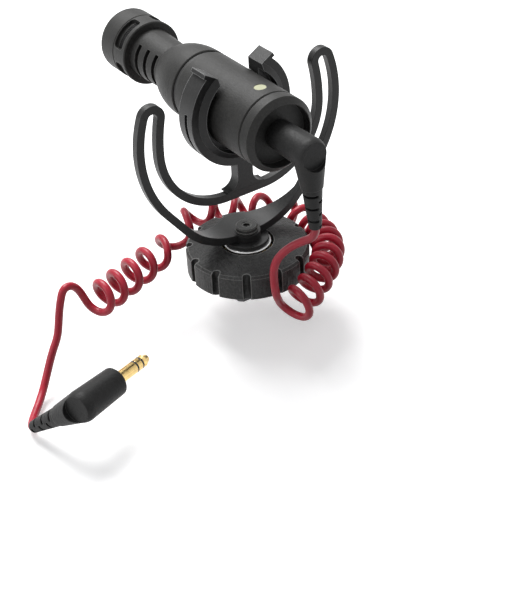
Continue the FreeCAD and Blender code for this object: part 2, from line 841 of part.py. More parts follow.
inner_flat = inner_arm_height - s.inner_corner_radius + s.arm_thickness / 2
post_foot = inner_flat - mic_height
post_lip = post_foot + s.post_foot_lip
post_round_top = post_lip + s.post_foot_round
post_top = s.clip_rib_height / 2 - clip_radius
post_edge = s.post_half_width + s.post_foot_round
for side in (1, -1):
    post_half = [
        (0, post_foot),
        (0, post_top),
        (s.post_half_width * side, post_top),
        (s.post_half_width * side, post_round_top),
        (post_edge * side, post_lip, "arc"),
        (post_edge * side, post_foot),
    ]
    extrude(clip, "XZ_Plane", polygon(post_half), s.post_depth, offset=s.clip_rear, reverse=True)
place(clip, z=mic_height)

# Microphone tube with the inlaid orientation dot
tube_bore = s.tube_radius - s.tube_wall
tube = along_mic("body_tube", [
    (s.tube_rear, tube_bore),
    (s.tube_rear, s.tube_radius - s.edge_chamfer),
    (s.tube_rear + s.edge_chamfer, s.tube_radius),
    (s.tube_front - s.edge_chamfer, s.tube_radius),
    (s.tube_front, s.tube_radius - s.edge_chamfer),
    (s.tube_front, tube_bore),
])
dot_floor = s.tube_radius - s.dot_sink - s.dot_thickness
dot_place = s.tube_rear + s.dot_inset
extrude(tube, "XY_Plane", circle(0, dot_place, s.dot_radius), s.dot_thickness + s.overrun, "Pocket",
        offset=s.tube_radius - s.dot_sink + s.overrun)
dot = new_body("orientation_dot")
extrude(dot, "XY_Plane", circle(0, dot_place, s.dot_radius), s.dot_thickness, offset=dot_floor)
place(dot, z=mic_height)

# Dark ring in the joint between tube and collar
ring_front = s.tube_front + s.joint_ring_width
joint_ring_radius = s.tube_radius - s.joint_ring_depth
along_mic("joint_ring", [
    (s.tube_front, tube_bore),
    (s.tube_front, joint_ring_radius),
    (ring_front, joint_ring_radius),
    (ring_front, tube_bore),
])

# Collar and slotted neck, one turned piece
spigot_rear = s.tube_front - s.collar_spigot
spigot_radius = tube_bore - s.head_fit
collar_straight = ring_front + s.collar_length
collar_end = collar_straight + s.collar_taper_length
neck_bore_radius = s.neck_radius - s.neck_wall
head_rear = collar_end + s.neck_length
neck_front = head_rear + s.neck_spigot
neck = along_mic("neck_tube", [
    (spigot_rear, spigot_radius - s.tube_wall),
    (spigot_rear, spigot_radius),
    (ring_front, spigot_radius),
    (ring_front, s.tube_radius - s.edge_chamfer),
    (ring_front + s.edge_chamfer, s.tube_radius),
    (collar_straight, s.tube_radius),
    (collar_end, s.neck_radius - s.neck_taper, "arc"),
    (head_rear, s.neck_radius),
    (neck_front, s.neck_radius),
    (neck_front, neck_bore_radius),
    (collar_end, neck_bore_radius),
    (collar_straight, spigot_radius - s.tube_wall),
])


def neck_slot(side, number):
    """A slot through the neck's wall on one side of the microphone."""
    start = collar_end + s.neck_slot_gap + s.neck_slot_pitch * number - s.neck_slot_width / 2
    end = start + s.neck_slot_width
    inner = (neck_bore_radius - s.overrun) * side
    outer = (s.neck_radius + s.overrun) * side
    return [(inner, start), (inner, end), (outer, end), (outer, start)]


for side in (1, -1):
    for number in range(SIZES["neck_slot_count"]):
        revolve(neck, "XY_Plane", neck_slot(side, number), "Groove", axis="V_Axis", angle=s.neck_slot_angle)

# Slotted head, front ring, and the screens behind them
head_radius = s.neck_radius + s.head_step
head_bore = head_radius - s.head_wall
neck_seat = s.neck_radius + s.head_fit
head_slot_start = neck_front + s.head_slot_gap
head_slot_end = head_slot_start + s.head_slot_width
head_seam = head_slot_end + s.head_slot_gap
head_front = head_seam + s.head_ring_length
head = along_mic("head_cage", [
    (head_rear, neck_seat),
    (head_rear, head_radius - s.edge_chamfer),
    (head_rear + s.edge_chamfer, head_radius),
    (head_seam - s.edge_chamfer, head_radius),
    (head_seam, head_radius - s.edge_chamfer),
    (head_seam, head_bore),
    (neck_front, head_bore),
    (neck_front, neck_seat),
])
head_slot = revolve(head, "YZ_Plane", [
    (head_slot_start, head_bore - s.overrun),
    (head_slot_end, head_bore - s.overrun),
    (head_slot_end, head_radius + s.overrun),
    (head_slot_start, head_radius + s.overrun),
], "Groove", angle=s.head_slot_angle)
slots = pattern_about(head, head_slot, "Y_Axis", s.head_slot_count)


def slot_corners(shape):
    """Names of the short straight edges at the slots' corners."""
    names = []
    for number, edge in enumerate(shape.Edges):
        straight = isinstance(edge.Curve, Part.Line)
        if straight and abs(edge.Length - s.head_wall.value) < s.head_fit.value:
            names.append(f"Edge{number + 1}")
    return names


doc.recompute()
rounding = head.newObject("PartDesign::Fillet", "SlotRounding")
rounding.Base = (slots, slot_corners(slots.Shape))
bind(rounding, "Radius", s.head_slot_round)
head.Tip = rounding
turn(head, FreeCAD.Vector(0, -1, 0), s.head_slot_turn)

head_spigot_rear = head_seam - s.head_spigot
head_spigot_radius = head_bore - s.head_fit
ring_bore = head_spigot_radius - s.sleeve_thickness
mesh_front = head_front - s.mesh_recess
mesh_rear = mesh_front - s.mesh_thickness
mesh_radius = ring_bore - s.head_fit
along_mic("head_ring", [
    (head_spigot_rear, ring_bore),
    (head_spigot_rear, head_spigot_radius),
    (head_seam, head_spigot_radius),
    (head_seam, head_radius - s.edge_chamfer),
    (head_seam + s.edge_chamfer, head_radius),
    (head_front - s.head_round, head_radius),
    (head_front, head_radius - s.head_round, "arc"),
    (head_front, ring_bore - s.mesh_lip),
    (mesh_front, ring_bore - s.mesh_lip),
    (mesh_front, ring_bore),
])
along_mic("front_mesh", [
    (mesh_rear, 0),
    (mesh_front, 0),
    (mesh_front, mesh_radius),
    (mesh_rear, mesh_radius),
])
foam_rear = mesh_rear - s.foam_thickness
along_mic("front_foam", [
    (foam_rear, 0),
    (mesh_rear, 0),
    (mesh_rear, mesh_radius),
    (foam_rear, mesh_radius),
])
sleeve_radius = head_bore - s.sleeve_gap
sleeve_bore = sleeve_radius - s.sleeve_thickness
carrier_radius = sleeve_bore - s.sleeve_gap
capsule_radius = carrier_radius - s.carrier_wall
capsule_front = foam_rear - s.gasket_thickness
along_mic("capsule_gasket", [
    (capsule_front, capsule_radius - s.gasket_lap),
    (foam_rear, capsule_radius - s.gasket_lap),
    (foam_rear, carrier_radius),
    (capsule_front, carrier_radius),
])
capsule_rear = capsule_front - s.capsule_length
along_mic("capsule", [
    (capsule_rear, 0),
    (capsule_front - s.capsule_rim, 0),
    (capsule_front - s.capsule_rim, capsule_radius - s.capsule_rim * 2),
    (capsule_front, capsule_radius - s.capsule_rim * 2),
    (capsule_front, capsule_radius),
    (capsule_rear, capsule_radius),
])
carrier_rear = capsule_rear - s.carrier_floor
along_mic("capsule_carrier", [
    (carrier_rear, capsule_radius - s.carrier_lip),
    (carrier_rear, carrier_radius),
    (capsule_front, carrier_radius),
    (capsule_front, capsule_radius),
    (capsule_rear, capsule_radius),
    (capsule_rear, capsule_radius - s.carrier_lip),
])
along_mic("slot_screen", [
    (neck_front, sleeve_bore),
    (neck_front, sleeve_radius),
    (head_spigot_rear, sleeve_radius),
    (head_spigot_rear, sleeve_bore),
])
neck_screen_rear = collar_end - s.neck_screen_lap
neck_screen_radius = neck_bore_radius - s.sleeve_thickness
neck_screen_bore = neck_screen_radius - s.sleeve_thickness
along_mic("neck_screen", [
    (neck_screen_rear, neck_screen_bore),
    (neck_screen_rear, neck_screen_radius),
    (neck_front, neck_screen_radius),
    (neck_front, neck_screen_bore),
])

# Rear cap with its recess, and the jack behind its floor
cap_front = s.tube_rear - s.rear_cap_gap
cap_rear = cap_front - s.rear_cap_length
cap_spigot_front = cap_front + s.rear_cap_spigot
rear_rim_radius = s.tube_radius - s.rear_cap_chamfer - s.rear_land
rear_floor = cap_rear + s.rear_recess
floor_front = rear_floor + s.rear_floor_thickness
jack_bore = s.pin_radius + s.pin_fit
jack_bush = jack_bore + s.jack_bush_wall
along_mic("rear_cap", [
    (cap_rear, rear_rim_radius),
    (cap_rear, s.tube_radius - s.rear_cap_chamfer),
    (cap_rear + s.rear_cap_chamfer, s.tube_radius),
    (cap_front - s.edge_chamfer, s.tube_radius),
    (cap_front, s.tube_radius - s.edge_chamfer),
    (cap_front, spigot_radius),
    (cap_spigot_front, spigot_radius),
    (cap_spigot_front, spigot_radius - s.tube_wall),
    (floor_front, spigot_radius - s.tube_wall),
    (floor_front, jack_bush),
    (rear_floor, jack_bush),
    (rear_floor, rear_rim_radius - s.edge_chamfer),
])
pin_first_gap = s.pin_sleeve_length + s.pin_insulator_length
pin_ring_end = pin_first_gap + s.pin_ring_length
pin_second_gap = pin_ring_end + s.pin_insulator_length
pin_length = pin_second_gap + s.pin_tip_length
plug_face = rear_floor - s.plug_gap
nut_front = floor_front + s.jack_nut_thickness
jack_bore_end = plug_face + pin_length + s.jack_end_gap
jack_front = jack_bore_end + s.jack_end_wall
lead_drop = neck_screen_bore - s.capsule_pin_radius - s.capsule_pin_gap
board_drop = lead_drop + s.capsule_pin_radius + s.running_clearance
jack_body_radius = board_drop - s.jack_board_gap
along_mic("jack_housing", [
    (rear_floor, jack_bore),
    (rear_floor, jack_bush),
    (nut_front, jack_bush),
    (nut_front, jack_body_radius),
    (jack_front, jack_body_radius),
    (jack_front, 0),
    (jack_bore_end, 0),
    (jack_bore_end, jack_bore),
])
along_mic("jack_nut", [
    (floor_front, jack_bush),
    (floor_front, jack_bush + s.jack_nut_width),
    (nut_front, jack_bush + s.jack_nut_width),
    (nut_front, jack_bush),
])
spring_step = s.spring_length + s.spring_gap
for number, name in enumerate(("jack_sleeve_contact", "jack_ring_contact", "jack_tip_contact")):
    contact = new_body(name)
    start = nut_front + s.spring_gap + spring_step * number
    extrude(contact, "XY_Plane", rectangle(-s.spring_width / 2, s.spring_width / 2, start, start + s.spring_length),
            s.spring_thickness, offset=jack_body_radius)
    place(contact, z=mic_height)

# Circuit board with its parts and the capsule's leads, in the lower half of the tube
board = new_body("circuit_board")
board_foot = board_drop + s.board_thickness
board_edge = (tube_bore * tube_bore - board_foot * board_foot).root() - s.board_edge_gap
board_rear = cap_spigot_front + s.board_end_gap
board_front = spigot_rear - s.board_end_gap
extrude(board, "XY_Plane", rectangle(-board_edge, board_edge, board_rear, board_front), s.board_thickness)
place(board, z=mic_height - board_foot)
capacitor_first = jack_front + s.capacitor_margin + s.capacitor_radius
capacitor_step = s.capacitor_radius * 2 + s.capacitor_gap
for number in range(2):
    can = new_body(f"board_capacitor_{number + 1}")
    extrude(can, "XY_Plane", circle(0, capacitor_first + capacitor_step * number, s.capacitor_radius),
            s.capacitor_height)
    place(can, z=mic_height - board_drop)
lead_rear = capacitor_first + capacitor_step + s.capacitor_radius + s.capacitor_gap
for side, name in ((1, "capsule_lead_live"), (-1, "capsule_lead_ground")):
    capsule_lead = new_body(name)
    extrude(capsule_lead, "XZ_Plane", circle(s.capsule_pin_offset * side, -lead_drop, s.capsule_pin_radius),
            capsule_rear - lead_rear, offset=-capsule_rear)
    place(capsule_lead, z=mic_height)
chip = new_body("board_transistor")
chip_half = s.transistor_width / 2
chip_side = s.transistor_margin - board_edge
chip_outline = rectangle(chip_side, chip_side + s.transistor_width, capacitor_first - chip_half, capacitor_first + chip_half)
extrude(chip, "XY_Plane", chip_outline, s.transistor_height)
place(chip, z=mic_height - board_drop)

# Angle plugs: the same moulded plug at both ends of the cord
FAR_PIN_SHARES = (0.923, 0.375, -0.11)
FAR_CABLE_SHARES = (-0.36, 0.7, -0.62)
leg_station = -s.plug_leg_place


def plug_piece(name, points, frame, axis="H_Axis", role="YZ_Plane", offset=None):
    body = new_body(name)
    revolve(body, role, points, axis=axis, offset=offset)
    body.Placement = frame
    return body


def plug(prefix, frame):
    """One angle plug. In its own frame the pin points to +Y from the origin and the cable leaves to -Z."""
    disc_station = leg_station - s.plug_disc_place
    housing = plug_piece(f"{prefix}_housing", [
        (0, 0),
        (0, s.plug_nose_radius - s.plug_nose_chamfer),
        (-s.plug_nose_chamfer, s.plug_nose_radius),
        (leg_station, s.plug_knuckle_radius),
        (disc_station, s.plug_disc_radius, "arc"),
        (disc_station, 0),
    ], frame)
    revolve(housing, "YZ_Plane", [
        (0, 0),
        (s.plug_knuckle_radius, 0),
        (s.plug_leg_end_radius, -s.plug_leg_length),
        (0, -s.plug_leg_length),
    ], axis="V_Axis", offset=leg_station)
    extrude(housing, "XZ_Plane", circle(0, 0, s.plug_disc_radius), s.plug_knuckle_radius, "Pocket",
            offset=-disc_station, reverse=True)
    sleeve_end = s.pin_sleeve_length
    core = s.pin_neck_radius
    plug_piece(f"{prefix}_sleeve", [(0, core), (sleeve_end, core), (sleeve_end, s.pin_radius), (0, s.pin_radius)], frame)
    plug_piece(f"{prefix}_insulator", [
        (0, 0),
        (pin_second_gap, 0),
        (pin_second_gap, s.pin_radius),
        (pin_ring_end, s.pin_radius),
        (pin_ring_end, core),
        (pin_first_gap, core),
        (pin_first_gap, s.pin_radius),
        (sleeve_end, s.pin_radius),
        (sleeve_end, core),
        (0, core),
    ], frame)
    plug_piece(f"{prefix}_ring", [
        (pin_first_gap, core), (pin_ring_end, core), (pin_ring_end, s.pin_radius), (pin_first_gap, s.pin_radius),
    ], frame)
    plug_piece(f"{prefix}_tip", [
        (pin_second_gap, 0),
        (pin_length, 0),
        (pin_length - s.pin_insulator_length, core),
        (pin_second_gap + s.pin_insulator_length * 2, s.pin_radius),
        (pin_second_gap + s.pin_insulator_length, core),
        (pin_second_gap, core),
    ], frame)
    relief(prefix, frame)


def relief(prefix, frame):
    """Slotted strain relief: a tapering core with slots cut in from alternate sides."""
    down = FreeCAD.Vector(0, 0, -1)
    top = FreeCAD.Vector(0, leg_station.value, -s.plug_leg_length.value)
    length = s.relief_length.value
    root_radius = s.plug_leg_end_radius.value - s.relief_root_step.value
    cord_radius = s.cord_diameter.value / 2
    shape = Part.makeCone(root_radius, cord_radius + s.relief_tip_wall.value, length, top, down)
    core = Part.makeCylinder(cord_radius + s.relief_core_wall.value, length, top, down)
    wide = root_radius + s.overrun.value
    for number in range(SIZES["relief_slot_count"]):
        depth = s.relief_slot_first.value + s.relief_slot_pitch.value * number
        across = -wide if number % 2 == 0 else 0
        corner = top + FreeCAD.Vector(across, -wide, -depth - s.relief_slot_height.value)
        block = Part.makeBox(wide, wide * 2, s.relief_slot_height.value, corner)
        shape = shape.cut(block.cut(core))
    item = scripted(f"{prefix}_relief", shape)
    item.Placement = frame
    return item


near_frame = FreeCAD.Placement(
    FreeCAD.Vector(0, plug_face.value, mic_height.value),
    FreeCAD.Rotation(Y_AXIS, s.plug_tilt.value),
)
far_y = FreeCAD.Vector(*FAR_PIN_SHARES)
far_z = -FreeCAD.Vector(*FAR_CABLE_SHARES)
far_frame = FreeCAD.Placement(
    FreeCAD.Vector(s.far_plug_x.value, s.far_plug_y.value, s.far_plug_z.value),
    FreeCAD.Rotation(FreeCAD.Vector(0, 0, 0), far_y, far_z, "YZX"),
)
plug("near_plug", near_frame)
plug("far_plug", far_frame)

# Cord: a short lead, the curls round the back of the wheel and past the foot, and a longer lead
relief_end = FreeCAD.Vector(0, leg_station.value, -s.plug_leg_length.value - s.relief_length.value)
near_exit = near_frame.multVec(relief_end)
far_exit = far_frame.multVec(relief_end)
near_way = near_frame.Rotation.multVec(FreeCAD.Vector(0, 0, -1))
far_way = far_frame.Rotation.multVec(FreeCAD.Vector(0, 0, -1))

# Route of the first lead, from the near plug down behind the wheel
NEAR_ROUTE = [
    (-0.3, -25.9, 26.0),
    (-2.9, -23.0, 23.0),
    (-5.1, -21.5, 19.5),
    (-5.8, -21.2, 15.5),
]

# Line that the curls wind about, from the wheel's rear round its right side to the left
CURL_ROUTE = [
    (-3.0, -25.3, 4.0),
    (2.3, -24.5, 6.0),
    (7.2, -22.8, 7.8),
    (11.5, -20.7, 9.2),
    (15.4, -17.9, 10.0),
    (19.0, -13.9, 10.0),
    (21.5, -9.3, 9.4),
    (23.0, -4.3, 9.0),
    (23.5, 0.9, 9.0),
    (22.9, 6.0, 9.5),
    (21.2, 10.6, 10.4),
    (18.9, 14.2, 10.6),
    (16.3, 17.2, 10.0),
    (13.3, 19.7, 9.2),
    (10.2, 21.5, 9.0),
    (7.0, 22.9, 9.6),
    (3.4, 24.0, 10.8),
    (-1.0, 24.2, 11.2),
    (-5.4, 23.5, 10.6),
    (-10.3, 21.7, 8.8),
    (-15.4, 18.8, 8.3),
    (-21.0, 15.7, 9.2),
    (-27.8, 12.7, 9.5),
    (-34.0, 10.3, 9.6),
    (-40.0, 8.1, 9.5),
    (-45.2, 6.5, 9.4),
    (-47.6, 5.8, 9.4),
]
CURL_TURNS = [
    0, 1.1, 2.2, 3.3, 4.5, 5.8, 7.0, 8.1, 9.1, 9.95, 10.75, 11.3, 11.75, 12.25, 12.75, 13.25,
    13.75, 14.25, 14.75, 15.15, 15.55, 15.98, 17, 18, 19, 20, 20.5,
]
CURL_LOOSE_SHARES = [
    -2.2, -0.6, 0, 0, 0, 0, 0, 0, 0.2, 0.5, 0.8, 1, 1, 1, 1, 1,
    1, 1, 1, 1, 0.8, 0.2, -0.7, -0.8, -0.8, -0.8, -0.8,
]
PICTURE_LEFT_SHARES = (-0.82, 0.57, 0.04)

# Route of the second lead, from the curls down to the far plug
FAR_ROUTE = [
    (-52.5, 10.0, 14.0),
    (-55.4, 9.4, 10.6),
    (-57.7, 8.7, 6.0),
    (-59.4, 7.6, 2.0),
    (-62.4, 6.6, -2.0),
    (-65.4, 5.0, -6.5),
    (-69.4, 2.0, -11.0),
]


ARC_SHARE = 0.45


def smooth_path(points):
    """Straight runs joined by tangent arcs, each as large as its two runs allow."""
    edges = []
    radii = []
    here = points[0]
    for before, corner, after in zip(points, points[1:], points[2:]):
        into = corner - before
        out = after - corner
        shorter = min(into.Length, out.Length)
        turn_angle = into.getAngle(out)
        trim = shorter * ARC_SHARE
        radii.append(trim / math.tan(turn_angle / 2))
        start = corner - into * (trim / into.Length)
        end = corner + out * (trim / out.Length)
        edges.append(Part.LineSegment(here, start).toShape())
        middle = arc_middle(start, end, corner)
        edges.append(Part.Arc(start, middle, end).toShape())
        here = end
    edges.append(Part.LineSegment(here, points[-1]).toShape())
    return edges, radii


def arc_middle(start, end, apex):
    """Middle of the arc from start to end whose tangents meet at apex."""
    centre = (start + end) * 0.5
    half = (end - start).Length / 2
    rise = apex - centre
    angle = math.atan2(rise.Length, half)
    return centre + rise * (half * math.tan(angle / 2) / rise.Length)


def tube_along(edges, sides):
    """A tube of the cord's diameter along tangent edges: round, or with flat sides of the same area."""
    wire = Part.Wire(edges)
    start = wire.Edges[0].Vertexes[0].Point
    way = wire.Edges[0].tangentAt(wire.Edges[0].FirstParameter)
    radius = s.cord_diameter.value / 2
    if sides:
        share = math.sqrt(2 * math.pi / (sides * math.sin(2 * math.pi / sides)))
        across = way.cross(FreeCAD.Vector(0, 0, 1))
        across.normalize()
        up = way.cross(across)
        ring = []
        for k in range(sides + 1):
            angle = 2 * math.pi * (k % sides) / sides
            ring.append(start + (across * math.cos(angle) + up * math.sin(angle)) * (radius * share))
        section = Part.makePolygon(ring)
    else:
        section = Part.Wire([Part.Circle(start, way, radius).toShape()])
    solid = wire.makePipeShell([section], True, False)
    want = math.pi * radius * radius * wire.Length
    print(f"tube length {wire.Length:.1f} mm, volume {solid.Volume:.1f} against {want:.1f} mm3")
    return solid, wire.Length


def dense_line(points, step):
    """Places and distances along the smooth path through points."""
    wire = Part.Wire(smooth_path(points)[0])
    count = int(wire.Length / step)
    places = wire.discretize(Number=count + 1)
    return places, wire.Length


def even(table, distance, knots):
    """Straight-line value of a table at a distance along its knots."""
    for k in range(len(knots) - 1):
        if distance <= knots[k + 1] or k == len(knots) - 2:
            part = (distance - knots[k]) / (knots[k + 1] - knots[k])
            return table[k] + (table[k + 1] - table[k]) * part


def curl_points(per_turn):
    """Points of the curls, per_turn to each turn, with the way the wire runs at each."""
    route = [FreeCAD.Vector(*p) for p in CURL_ROUTE]
    places, length = dense_line(route, s.cord_diameter.value / 10)
    knots = [0]
    for a, b in zip(route, route[1:]):
        knots.append(knots[-1] + (b - a).Length)
    scale = length / knots[-1]
    knots = [k * scale for k in knots]
    gap = length / (len(places) - 1)
    ways = []
    for k in range(len(places)):
        ahead = places[min(k + 1, len(places) - 1)]
        behind = places[max(k - 1, 0)]
        way = ahead - behind
        way.normalize()
        ways.append(way)
    side = FreeCAD.Vector(*PICTURE_LEFT_SHARES)
    centre_line = []
    for place_, way in zip(places, ways):
        side = side - way * side.dot(way)
        side.normalize()
        centre_line.append((place_, way, FreeCAD.Vector(side)))
    tight = s.curl_radius.value
    loose = s.loose_curl_radius.value
    samples = []
    for k, (place_, way, side) in enumerate(centre_line):
        distance = k * gap
        turns = even(CURL_TURNS, distance, knots)
        radius = tight + (loose - tight) * even(CURL_LOOSE_SHARES, distance, knots)
        samples.append((turns, place_, way, side, radius))
    total = int(round(CURL_TURNS[-1] * per_turn))
    curls = []
    j = 0
    for k in range(total + 1):
        want = k / per_turn
        while j < len(samples) - 2 and samples[j + 1][0] < want:
            j += 1
        a, b = samples[j], samples[j + 1]
        part = (want - a[0]) / (b[0] - a[0])
        place_ = a[1] + (b[1] - a[1]) * part
        way = a[2] + (b[2] - a[2]) * part
        side = a[3] + (b[3] - a[3]) * part
        radius = a[4] + (b[4] - a[4]) * part
        angle = 2 * math.pi * want
        over = side.cross(way)
        curls.append(place_ + (side * math.cos(angle) + over * math.sin(angle)) * radius)
    return curls


def biarc(start, start_way, end, end_way):
    """Two arcs that join start to end and keep both ways."""
    v = end - start
    both = start_way + end_way
    spare = 2 * (1 - start_way.dot(end_way))
    if spare < 1e-9:
        reach = v.dot(v) / (4 * v.dot(end_way))
    else:
        dot = v.dot(both)
        reach = (-dot + math.sqrt(dot * dot + spare * v.dot(v))) / spare
    first = start + start_way * reach
    second = end - end_way * reach
    middle = (first + second) * 0.5
    return [
        Part.Arc(start, arc_middle(start, middle, first), middle).toShape(),
        Part.Arc(middle, arc_middle(middle, end, second), end).toShape(),
    ]


def curl_path():
    """Edges of the curls, with a straight diameter of wire at each end, and both end places and ways."""
    fine = 16
    quarter = 4
    dense = curl_points(fine)
    stride = fine // quarter
    places = dense[::stride]
    ways = []
    for k in range(0, len(dense), stride):
        way = dense[min(k + 1, len(dense) - 1)] - dense[max(k - 1, 0)]
        way.normalize()
        ways.append(way)
    edges = []
    for k in range(len(places) - 1):
        edges += biarc(places[k], ways[k], places[k + 1], ways[k + 1])
    run = s.cord_diameter.value
    start = places[0] - ways[0] * run
    end = places[-1] + ways[-1] * run
    edges.insert(0, Part.LineSegment(start, places[0]).toShape())
    edges.append(Part.LineSegment(places[-1], end).toShape())
    return edges, start, ways[0], end, ways[-1]


def least_gap(wire, diameter):
    """Least gap between parts of the wire more than a few diameters apart along it."""
    step = diameter / 6
    count = int(wire.Length / step)
    points = wire.discretize(Number=count + 1)
    skip = int(diameter * 3 / step)
    least = wire.Length
    for k in range(len(points)):
        p = points[k]
        for j in range(k + skip, len(points)):
            q = points[j]
            if abs(p.x - q.x) > least or abs(p.y - q.y) > least or abs(p.z - q.z) > least:
                continue
            if (p - q).Length < least:
                least = (p - q).Length
    return least - diameter


curl_edges, curl_start, curl_start_way, curl_end, curl_end_way = curl_path()
curls, curls_length = tube_along(curl_edges, 6)
scripted("curly_cord", curls)
print(f"least gap of the curls {least_gap(Part.Wire(curl_edges), s.cord_diameter.value):.2f} mm")

stub = s.cord_diameter.value * 1.4


def lead(name, start, start_way, route, end, end_way, last_stub):
    """A plain lead from start to end through the route, square to what it meets at both ends."""
    points = [start, start + start_way * stub]
    points += [FreeCAD.Vector(*p) for p in route]
    points += [end - end_way * last_stub, end]
    edges, radii = smooth_path(points)
    print(f"{name} radii " + ", ".join(f"{r:.1f}" for r in radii))
    solid, length = tube_along(edges, 0)
    scripted(name, solid)
    return length


near_length = lead("near_lead", near_exit, near_way, NEAR_ROUTE, curl_start, curl_start_way, stub)
far_length = lead("far_lead", curl_end, curl_end_way, FAR_ROUTE, far_exit, -far_way, stub * 0.8)
print(f"cord length {near_length + curls_length + far_length:.1f} mm")

doc.recompute()
bad = [item.Name for item in doc.Objects if "Invalid" in item.State or "Error" in item.State]
if bad:
    raise SystemExit(f"features that failed: {bad}")
for node in nodes:
    shape = node.Shape
    if shape.isNull() or not shape.isValid() or len(shape.Solids) != 1:
        raise SystemExit(f"{node.Label}: not one valid solid")
    node.Shape.exportStep(f"parts/{node.Label}.step")
print(f"{len(nodes)} sub-parts")
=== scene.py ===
import json
import math

import bpy
from mathutils import Matrix, Vector


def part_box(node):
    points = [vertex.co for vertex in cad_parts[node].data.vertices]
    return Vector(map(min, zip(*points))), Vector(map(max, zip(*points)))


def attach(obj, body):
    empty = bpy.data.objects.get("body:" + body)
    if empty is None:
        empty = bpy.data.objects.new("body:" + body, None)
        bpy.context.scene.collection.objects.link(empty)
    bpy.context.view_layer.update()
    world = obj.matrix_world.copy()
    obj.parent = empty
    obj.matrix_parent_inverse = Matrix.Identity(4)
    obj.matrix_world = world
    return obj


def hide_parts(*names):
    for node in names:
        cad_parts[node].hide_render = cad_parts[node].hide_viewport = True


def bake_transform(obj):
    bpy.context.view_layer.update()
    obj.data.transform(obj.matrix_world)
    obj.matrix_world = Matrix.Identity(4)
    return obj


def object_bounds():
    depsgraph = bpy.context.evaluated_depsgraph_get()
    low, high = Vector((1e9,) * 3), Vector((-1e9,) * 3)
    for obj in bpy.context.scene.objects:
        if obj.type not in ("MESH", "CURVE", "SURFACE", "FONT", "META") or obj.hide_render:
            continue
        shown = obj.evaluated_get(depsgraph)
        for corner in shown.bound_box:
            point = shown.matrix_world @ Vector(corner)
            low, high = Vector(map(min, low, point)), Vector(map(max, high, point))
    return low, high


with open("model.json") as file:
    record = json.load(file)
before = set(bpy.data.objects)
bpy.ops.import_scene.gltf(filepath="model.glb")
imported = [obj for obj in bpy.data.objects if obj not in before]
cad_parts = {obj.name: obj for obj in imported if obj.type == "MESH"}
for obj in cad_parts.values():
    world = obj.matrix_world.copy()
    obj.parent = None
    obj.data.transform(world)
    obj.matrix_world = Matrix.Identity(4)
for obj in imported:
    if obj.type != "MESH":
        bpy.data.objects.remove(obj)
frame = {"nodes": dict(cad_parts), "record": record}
cad_low, cad_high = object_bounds()

MM = 0.001
TUBE_AXIS_Z = 0.0555  # height of the microphone's axis, which lies along Y, in metres
scene = bpy.context.scene


# Camera, at the photograph's viewing angle
def make_camera():
    data = bpy.data.cameras.new("Camera")
    data.lens = 72.84
    data.sensor_width = 36
    data.clip_start = 0.01
    data.clip_end = 10
    camera = bpy.data.objects.new("Camera", data)
    scene.collection.objects.link(camera)
    place = Vector((-0.1599, -0.2484, 0.2072))
    right = Vector((0.819, -0.572, -0.043))
    down = Vector((-0.367, -0.464, -0.806))
    ahead = Vector((0.441, 0.676, -0.590))
    turn = Matrix((right, -down, -ahead)).transposed()
    camera.matrix_world = Matrix.Translation(place) @ turn.to_4x4()
    scene.camera = camera


make_camera()
scene.view_settings.view_transform = "Standard"


